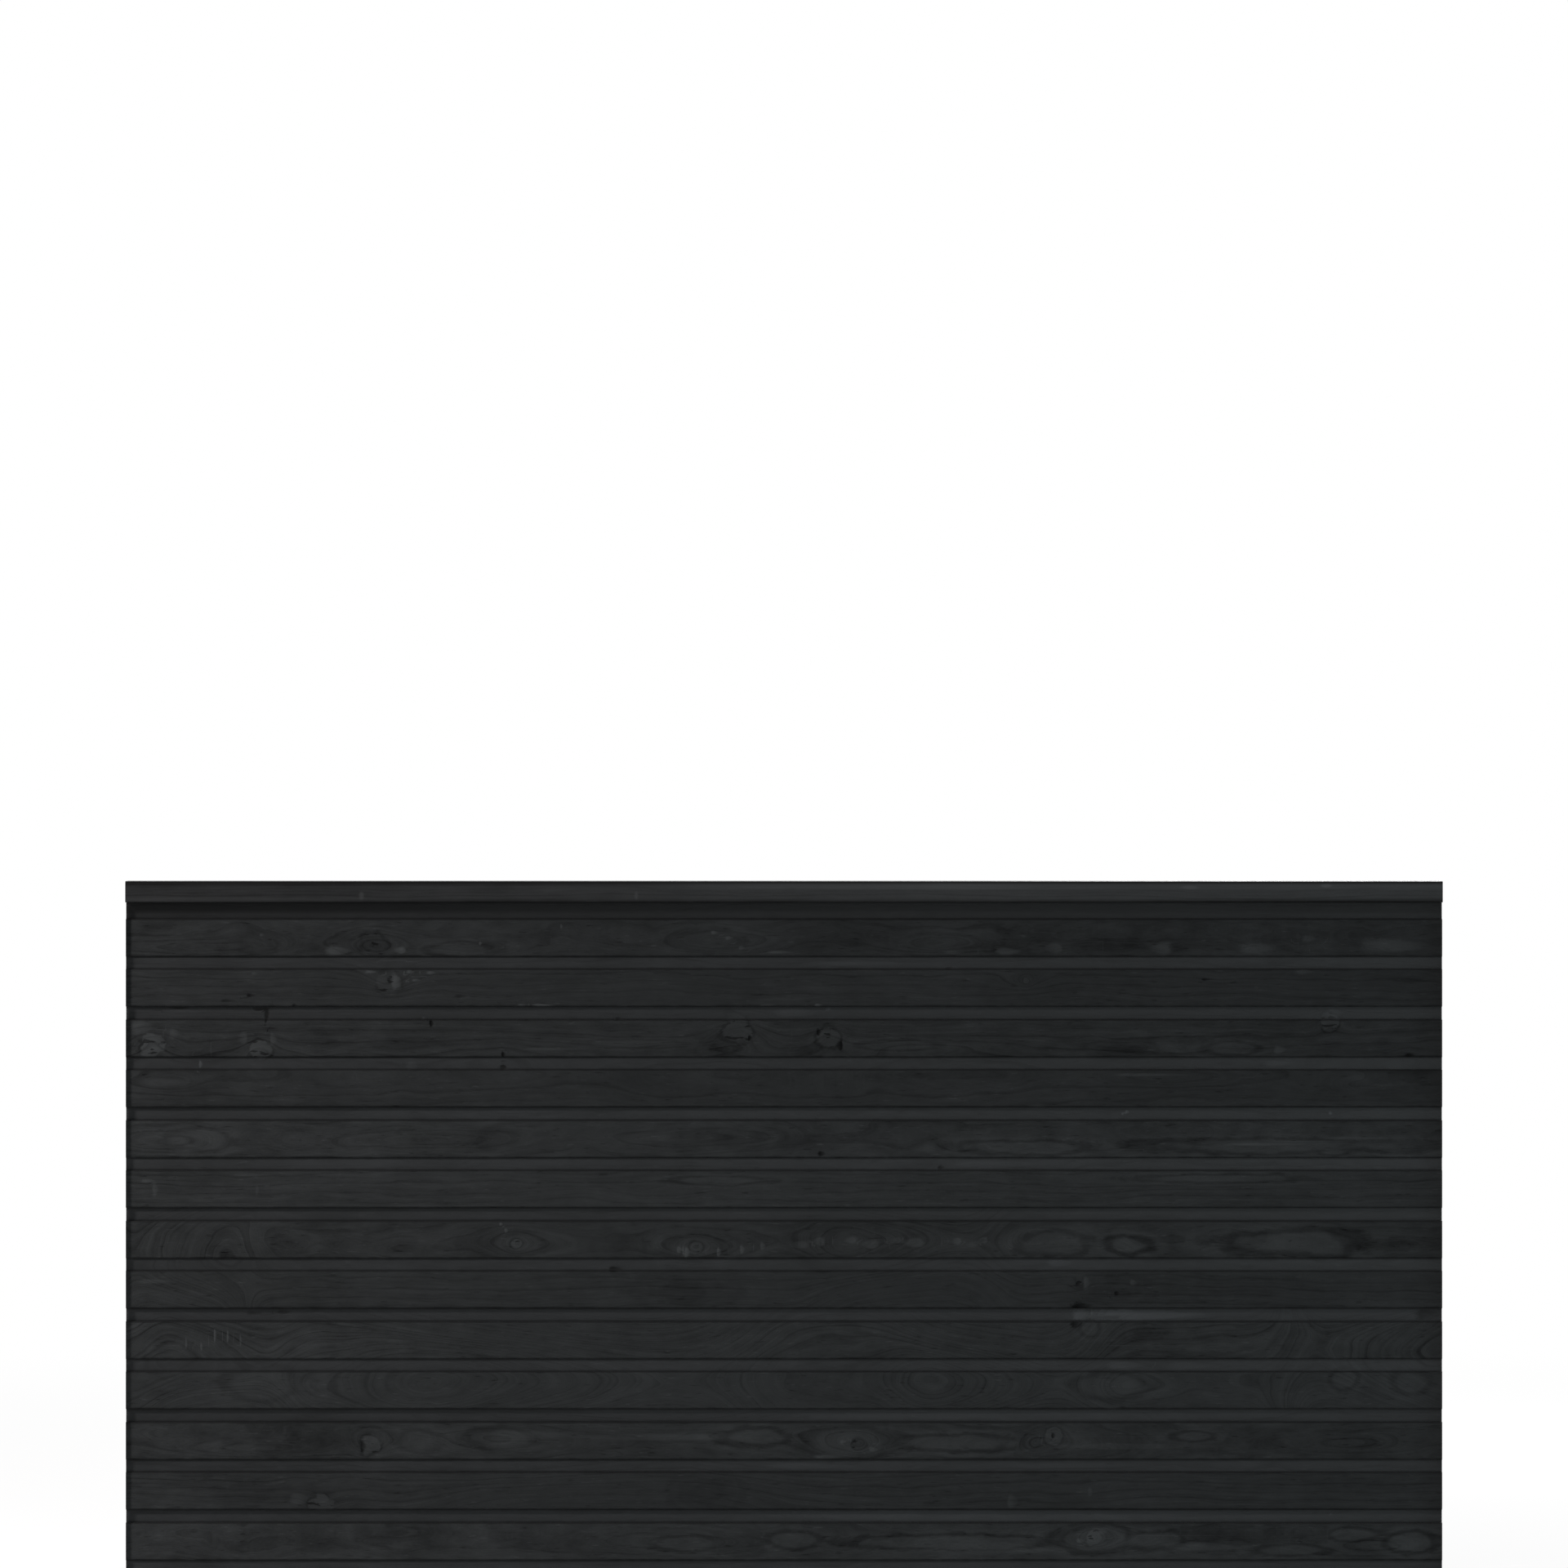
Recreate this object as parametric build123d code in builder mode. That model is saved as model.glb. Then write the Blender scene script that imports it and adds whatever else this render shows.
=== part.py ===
from build123d import *

import math
import os

# A wooden fence panel, in millimetres. Profiled tongue-and-groove boards lie on edge, one above the other,
# and are screwed from behind to upright battens. A capping rail sits on the battens and takes the tongue
# of the top board in its groove. The bottom board is ripped to the height of the panel.
#
# Frame: X runs along the panel, -Y points out of its profiled face and +Z is up. The origin is at the
# middle of the panel's foot.

# Whole panel
panel_length = 1740.0
panel_height = 910.0

# Front of a board: two wide faces with a shallow groove between them
board_thickness = 21.0
face_height = 50.0
middle_groove_height = 16.0
middle_groove_depth = 4.0
lower_arris_radius = 2.0
upper_arris_radius = 1.0

# Tongue, whose bare foot is the recessed shelf between two boards, and the groove that takes its tip
shelf_height = 17.0
shelf_depth = 7.0
tongue_thickness = 7.0
tongue_engagement = 10.0
tongue_chamfer = 1.0
tongue_side_clearance = 0.4
tongue_tip_clearance = 2.0
shoulder_gap = 0.8

# The least cover that a ripped bottom board is worth fitting for
narrowest_strip = 45.0

# Capping rail
rail_height = 28.0
rail_front_overhang = 11.0
rail_back_overhang = 3.0
rail_top_radius = 4.0
rail_bottom_radius = 2.0
rail_shelf_height = 22.0

# Upright battens, from left to right
batten_names = ["left_batten", "middle_batten", "right_batten"]
batten_width = 70.0
batten_thickness = 28.0
batten_arris_radius = 2.0

# Countersunk wood screws, with flat sides for roundness; a radius is measured to a flat
screw_sides = 12
screw_radius = 2.2
screw_head_radius = 4.4
screw_head_height = 2.2
screw_point_length = 5.0
screw_point_radius = 0.4
screw_sink = 0.4
screw_clearance = 0.1
board_screw_bite = 12.0
board_screw_stagger = 40.0
screw_edge_distance = 12.0
rail_screw_bite = 42.0

# Levels above a board's lower edge
upper_face_level = face_height + middle_groove_height
shelf_level = upper_face_level + face_height
board_cover = shelf_level + shelf_height
shoulder_level = board_cover - shoulder_gap
tongue_tip_level = board_cover + tongue_engagement
groove_height = tongue_engagement + tongue_tip_clearance

# Levels above the panel's foot
rail_underside = panel_height - rail_height
top_board_level = rail_underside - rail_shelf_height - shelf_level
rail_tongue_engagement = tongue_tip_level - shelf_level - rail_shelf_height
board_count = math.ceil((top_board_level - narrowest_strip) / board_cover) + 1
board_levels = [top_board_level - index * board_cover for index in range(board_count)]

# Depths, from the front to the back
rail_depth = rail_front_overhang + board_thickness + batten_thickness + rail_back_overhang
board_front = rail_front_overhang - rail_depth / 2
tongue_front = board_front + shelf_depth
tongue_back = tongue_front + tongue_thickness
tongue_middle = (tongue_front + tongue_back) / 2
groove_thickness = tongue_thickness + 2 * tongue_side_clearance
board_back = board_front + board_thickness
batten_middle = board_back + batten_thickness / 2
batten_back = board_back + batten_thickness

# Screws
board_screw_length = board_screw_bite + batten_thickness - screw_sink
rail_screw_length = rail_screw_bite + rail_height - screw_sink
screw_head_taper = math.degrees(math.atan2(screw_head_radius - screw_radius, screw_head_height))
screw_point_taper = math.degrees(math.atan2(screw_radius - screw_point_radius, screw_point_length))
from_behind = Plane(origin=(0, batten_back - screw_sink, 0), x_dir=(1, 0, 0), z_dir=(0, -1, 0))
from_above = Plane(origin=(0, batten_middle, panel_height - screw_sink), x_dir=(1, 0, 0), z_dir=(0, 0, -1))

# Places along the panel
batten_reach = (panel_length - batten_width) / 2
batten_pitch = 2 * batten_reach / (len(batten_names) - 1)
batten_centres = [index * batten_pitch - batten_reach for index in range(len(batten_names))]


def board_screw_places(level, centre):
    """Screws of one board at one batten, across the panel: one behind each wide face, right and left."""
    places = []
    for face_level, side in ((0, 1), (upper_face_level, -1)):
        bottom = max(level + face_level, 0)
        top = level + face_level + face_height
        if top - bottom >= 2 * screw_edge_distance:
            places.append((centre + side * board_screw_stagger / 2, (bottom + top) / 2))
    return places


def batten_screw_places(centre):
    """The screws of every board at one batten, across the panel."""
    return [place for level in board_levels for place in board_screw_places(level, centre)]


def make_screw(length):
    """A countersunk wood screw along Z, with the flat top of its head at the origin."""
    with BuildPart(mode=Mode.PRIVATE) as screw:
        with BuildSketch():
            RegularPolygon(screw_head_radius, screw_sides, major_radius=False)
        extrude(amount=screw_head_height, taper=screw_head_taper)
        with BuildSketch():
            RegularPolygon(screw_radius, screw_sides, major_radius=False)
        extrude(amount=length - screw_point_length)
        with BuildSketch(Plane.XY.offset(length - screw_point_length)):
            RegularPolygon(screw_radius, screw_sides, major_radius=False)
        extrude(amount=screw_point_length, taper=screw_point_taper)
    return screw.part


def make_screw_hole(length):
    """The hole for a screw of that length: clear of it all round, and open above its sunk head."""
    with BuildPart(mode=Mode.PRIVATE) as hole:
        with BuildSketch(Plane.XY.offset(-screw_sink)):
            RegularPolygon(screw_head_radius + screw_clearance, screw_sides, major_radius=False)
        extrude(amount=screw_sink)
        with BuildSketch():
            RegularPolygon(screw_head_radius + screw_clearance, screw_sides, major_radius=False)
        extrude(amount=screw_head_height, taper=screw_head_taper)
        with BuildSketch():
            RegularPolygon(screw_radius + screw_clearance, screw_sides, major_radius=False)
        extrude(amount=length + screw_clearance)
    return hole.part


def make_board(level):
    """A profiled board with its lower edge at one level, cut off at the panel's foot."""
    with BuildPart() as board:
        with BuildSketch(Plane.YZ):
            with BuildLine():
                Polyline(
                    (board_front, level),
                    (board_front, level + face_height),
                    (board_front + middle_groove_depth, level + face_height),
                    (board_front + middle_groove_depth, level + upper_face_level),
                    (board_front, level + upper_face_level),
                    (board_front, level + shelf_level),
                    (tongue_front, level + shelf_level),
                    (tongue_front, level + tongue_tip_level),
                    (tongue_back, level + tongue_tip_level),
                    (tongue_back, level + shoulder_level),
                    (board_back, level + shoulder_level),
                    (board_back, level),
                    close=True,
                )
            make_face()
            arrises = vertices().group_by(Axis.X)[0].sort_by(Axis.Y)
            lower_arrises = arrises[0::2]
            upper_arrises = arrises[1::2]
            fillet(lower_arrises, lower_arris_radius)
            fillet(upper_arrises, upper_arris_radius)
            chamfer(vertices().group_by(Axis.Y)[-1], tongue_chamfer)
            with Locations((tongue_middle, level)):
                Rectangle(
                    groove_thickness, groove_height, align=(Align.CENTER, Align.MIN), mode=Mode.SUBTRACT
                )
        extrude(amount=panel_length / 2, both=True)
        if level < 0:
            split(bisect_by=Plane.XY, keep=Keep.TOP)
        with Locations(from_behind):
            for centre in batten_centres:
                for place in board_screw_places(level, centre):
                    with Locations(place):
                        add(board_screw_hole, mode=Mode.SUBTRACT)
    return board


def make_rail():
    """The capping rail, grooved below for the top board's tongue and drilled for its screws."""
    with BuildPart() as rail:
        with BuildSketch(Plane.YZ):
            with Locations((0, rail_underside)):
                Rectangle(rail_depth, rail_height, align=(Align.CENTER, Align.MIN))
            fillet(vertices().group_by(Axis.Y)[-1], rail_top_radius)
            fillet(vertices().group_by(Axis.Y)[0], rail_bottom_radius)
            with Locations((tongue_middle, rail_underside)):
                Rectangle(
                    groove_thickness,
                    rail_tongue_engagement + tongue_tip_clearance,
                    align=(Align.CENTER, Align.MIN),
                    mode=Mode.SUBTRACT,
                )
        extrude(amount=panel_length / 2, both=True)
        with Locations(from_above):
            for centre in batten_centres:
                with Locations((centre, 0)):
                    add(rail_screw_hole, mode=Mode.SUBTRACT)
    return rail


def make_batten(centre):
    """An upright batten, drilled from behind for the board screws and from above for the rail's screw."""
    with BuildPart() as batten:
        with BuildSketch():
            with Locations((centre, batten_middle)):
                RectangleRounded(batten_width, batten_thickness, batten_arris_radius)
        extrude(amount=rail_underside)
        with Locations(from_behind):
            with Locations(*batten_screw_places(centre)):
                add(board_screw_hole, mode=Mode.SUBTRACT)
        with Locations(from_above):
            with Locations((centre, 0)):
                add(rail_screw_hole, mode=Mode.SUBTRACT)
    return batten


board_screw = make_screw(board_screw_length)
board_screw_hole = make_screw_hole(board_screw_length)
rail_screw = make_screw(rail_screw_length)
rail_screw_hole = make_screw_hole(rail_screw_length)

os.makedirs("parts", exist_ok=True)

for number, level in enumerate(board_levels, start=1):
    board = make_board(level)
    board.part.label = f"board_{number}"
    export_step(board.part, f"parts/board_{number}.step")

rail = make_rail()
rail.part.label = "capping_rail"
export_step(rail.part, "parts/capping_rail.step")

for name, centre in zip(batten_names, batten_centres):
    batten = make_batten(centre)
    batten.part.label = name
    export_step(batten.part, f"parts/{name}.step")

    with BuildPart() as batten_screws:
        with Locations(from_behind):
            with Locations(*batten_screw_places(centre)):
                add(board_screw)
    batten_screws.part.label = f"{name}_screws"
    export_step(batten_screws.part, f"parts/{name}_screws.step")

with BuildPart() as rail_screws:
    with Locations(from_above):
        for centre in batten_centres:
            with Locations((centre, 0)):
                add(rail_screw)
rail_screws.part.label = "rail_screws"
export_step(rail_screws.part, "parts/rail_screws.step")
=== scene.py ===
import math

import bpy
import numpy as np
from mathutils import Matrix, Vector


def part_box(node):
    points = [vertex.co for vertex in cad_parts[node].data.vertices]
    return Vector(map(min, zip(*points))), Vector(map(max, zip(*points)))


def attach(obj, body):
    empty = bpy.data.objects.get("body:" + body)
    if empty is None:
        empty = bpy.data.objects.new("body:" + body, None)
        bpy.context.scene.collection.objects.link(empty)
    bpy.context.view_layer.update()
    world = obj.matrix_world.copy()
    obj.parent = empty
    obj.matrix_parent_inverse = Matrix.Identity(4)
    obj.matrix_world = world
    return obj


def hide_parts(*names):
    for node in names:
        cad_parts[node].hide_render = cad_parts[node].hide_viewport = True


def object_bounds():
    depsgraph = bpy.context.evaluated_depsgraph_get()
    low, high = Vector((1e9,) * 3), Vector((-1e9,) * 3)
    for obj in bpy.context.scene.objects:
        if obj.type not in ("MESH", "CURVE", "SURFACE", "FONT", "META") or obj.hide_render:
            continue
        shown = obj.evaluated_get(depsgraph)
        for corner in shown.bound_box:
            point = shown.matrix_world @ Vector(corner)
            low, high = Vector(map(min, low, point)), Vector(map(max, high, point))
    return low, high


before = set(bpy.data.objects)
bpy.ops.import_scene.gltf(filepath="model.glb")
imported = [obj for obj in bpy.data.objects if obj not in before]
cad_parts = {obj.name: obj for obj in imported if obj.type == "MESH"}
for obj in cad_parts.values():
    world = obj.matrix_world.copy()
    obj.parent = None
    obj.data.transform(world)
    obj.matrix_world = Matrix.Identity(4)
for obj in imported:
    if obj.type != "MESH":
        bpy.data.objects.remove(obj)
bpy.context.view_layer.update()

# The scene dresses a fence panel of black-stained boards. Lengths are in metres, in the frame of the solids:
# X runs along the panel, -Y points out of its profiled face and Z is up from its foot.
MM = 0.001

# Section of a board, measured back from its front and up from its lower edge
face_height = 50 * MM
middle_groove_height = 16 * MM
middle_groove_depth = 4 * MM
shelf_depth = 7 * MM
lower_arris = 2 * MM
upper_arris = 1 * MM
tongue_thickness = 7 * MM
tongue_engagement = 10 * MM
tongue_chamfer = 1 * MM
tongue_side_clearance = 0.4 * MM
tongue_tip_clearance = 2 * MM
shoulder_gap = 0.8 * MM

# Spacing of the points that make up a board's surface. Short runs have their own spacing, and longer ones have
# points close together at both ends. A round arris and a chamfer have a number of points each. A hair is the
# difference below which two levels are the same.
column_step = 3 * MM
front_step = 2.2 * MM
back_step = 12 * MM
short_step = 1.2 * MM
short_run = 8 * MM
end_places = np.array([0, 0.6, 1.6]) * MM
round_points = 5
chamfer_points = 2
hair = 0.1 * MM

# Depths to which a board's surface is worn, hollowed or sunk
arris_wear = 0.18 * MM
torn_arris_wear = 1.6 * MM
sawn_hollow = 0.12 * MM
knot_groove = 0.35 * MM
dark_mark_depth = 0.9 * MM
greatest_depth = 1.2 * MM

# How far wear and painted shade reach from an arris or a corner, and how much painted shade lies on and beside an
# arris
wear_reach = 0.8 * MM
arris_painted_shade_reach = 0.7 * MM
corner_painted_shade_reach = 1.4 * MM
shelf_painted_shade_reach = 1.6 * MM
arris_painted_shade = 0.75
lower_arris_painted_shade = 0.4

# Screws: their sides, head, shank and point, and the cross-shaped recess with its sloping walls
screw_sides = 32
screw_radius = 2.2 * MM
screw_head_radius = 4.4 * MM
screw_head_height = 2.2 * MM
screw_point_length = 5 * MM
screw_recess_reach = 2.5 * MM
screw_recess_width = 0.75 * MM
screw_recess_depth = 1.6 * MM
screw_recess_side = 0.35 * MM
screw_recess_end = 0.4 * MM
screw_rim_heights = [0.06 * MM, 0.2 * MM]
screw_rim_wear = 0.05 * MM
screw_middle_radius = 0.01 * MM
screw_tip_radius = 0.02 * MM

# How strongly each finish mirrors its surroundings
sawn_gloss = 0.03
planed_gloss = 0.1
end_grain_gloss = 0.03
rail_gloss = 0.065
batten_gloss = 0.05

# Growth rings: their thickness and where their pith lies. The rail's is given in Y and Z, the battens' in Y
# and X, and the one on the boards' ends by how far it lies in front of the face and above the lower edge.
rail_pith, rail_ring = (-0.03, 0.86), 4.5 * MM
batten_pith, batten_ring = (-0.02, 0.0), 5 * MM
end_pith, end_ring = (48 * MM, 80 * MM), 3.8 * MM

# Edges sharper than this show as edges
sharp_edge = math.radians(38)

# A knot's length along the board for each unit of its height
knot_length = 1.1

# The way given to points that are far from every knot, mark or eye, in the half lengths of one
far_away = 9.0

# Picture
picture_pixels = 1920
panel_pixels = 1612
foot_below_pixels = 2
camera_distance = 12.0

# Painted shade on the shelf in the recess under the rail: its tone at places along the panel, and at the
# foot of the recess, where the painted shade is lighter
recess_shade_places = [-0.87, -0.3, 0.2, 0.55, 0.7, 0.87]
recess_shade_tones = [0.18, 0.33, 0.46, 0.42, 0.24, 0.15]
recess_shade_foot_tone = 0.52
# How far above the foot of the recess the lighter painted shade reaches, and over what height it fades
lit_foot_height = 8 * MM
lit_foot_fade = 2 * MM

# Strength of the grain on the sawn faces: the lower face's beside the upper one's, and at places along the panel,
# where it is partly painted light: stronger at the left end, as light from the left shows the relief
lower_face_grain = 0.72
grain_places = [-0.87, -0.6, -0.35, 0.0, 0.4]
grain_and_painted_light_amounts = [1.15, 1.05, 0.78, 0.86, 0.96]

# Pale spots on the rail's front, in millimetres: their places along the panel and up from the rail's
# underside, their half lengths and half heights, and how pale they are
rail_pale_spots = [(-558, 9, 4, 6, 0.7), (-195, 9, 3, 6, 0.6), (536, 20, 14, 3, 0.7), (716, 22, 9, 3, 1.0)]

# Floor: its reach, and how far from the panel it starts and ends to fade into plain white
floor_reach = 60.0
floor_fade = (1.5, 5.0)

# Strips beside the ends of the boards
flag_gap = 1 * MM
flag_thickness = 1.5 * MM
right_flag_depth = 80 * MM

# How much of the white surround's light falls on the panel
world_level = 0.2

# Lamps: name, place, the point that each faces, size, power in watts and colour
lamps = [
    ("key", (-2.2, -1.8, 2.15), (-0.7, 0, 0.4), 0.4, 93, (1.0, 0.925, 0.905)),
    ("front", (0.0, -2.4, 0.5), (0, 0, 0.35), 1.2, 4.5, (0.88, 0.98, 1.0)),
    ("right", (1.5, -2.6, 0.5), (0.6, 0, 0.4), 1.2, 19, (0.82, 0.96, 1.0)),
    ("back", (1.2, 3.0, 2.4), (0, 0, 0.45), 1.6, 70, (1.0, 1.0, 1.0)),
    ("right_end", (2.9, 0.9, 1.0), (0.87, 0, 0.45), 0.8, 14, (1.0, 1.0, 1.0)),
]

# Two near colours of the stain for each kind of surface
face_colours = [(0.0170, 0.0187, 0.0191), (0.0184, 0.0200, 0.0209)]
band_colours = [(0.0136, 0.0149, 0.0156), (0.0145, 0.0156, 0.0168)]
rail_colours = [(0.0136, 0.0146, 0.0151), (0.0150, 0.0158, 0.0164)]
end_colours = [(0.0156, 0.0168, 0.0170), (0.0176, 0.0190, 0.0192)]

# Places that follow from the solids
board_names = sorted(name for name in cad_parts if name.startswith("board_"))
panel_low, panel_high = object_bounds()
panel_length = panel_high.x - panel_low.x
board_low, board_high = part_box(board_names[0])
board_front, board_back = board_low.y, board_high.y
board_thickness = board_back - board_front
rail_low, rail_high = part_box("capping_rail")
board_cover = board_low.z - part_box(board_names[1])[0].z
upper_face_level = face_height + middle_groove_height
shelf_level = upper_face_level + face_height
tongue_tip_level = board_cover + tongue_engagement
shoulder_level = board_cover - shoulder_gap
tongue_back = shelf_depth + tongue_thickness
groove_depth_front = shelf_depth - tongue_side_clearance
groove_depth_back = tongue_back + tongue_side_clearance
groove_top = tongue_engagement + tongue_tip_clearance
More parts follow.
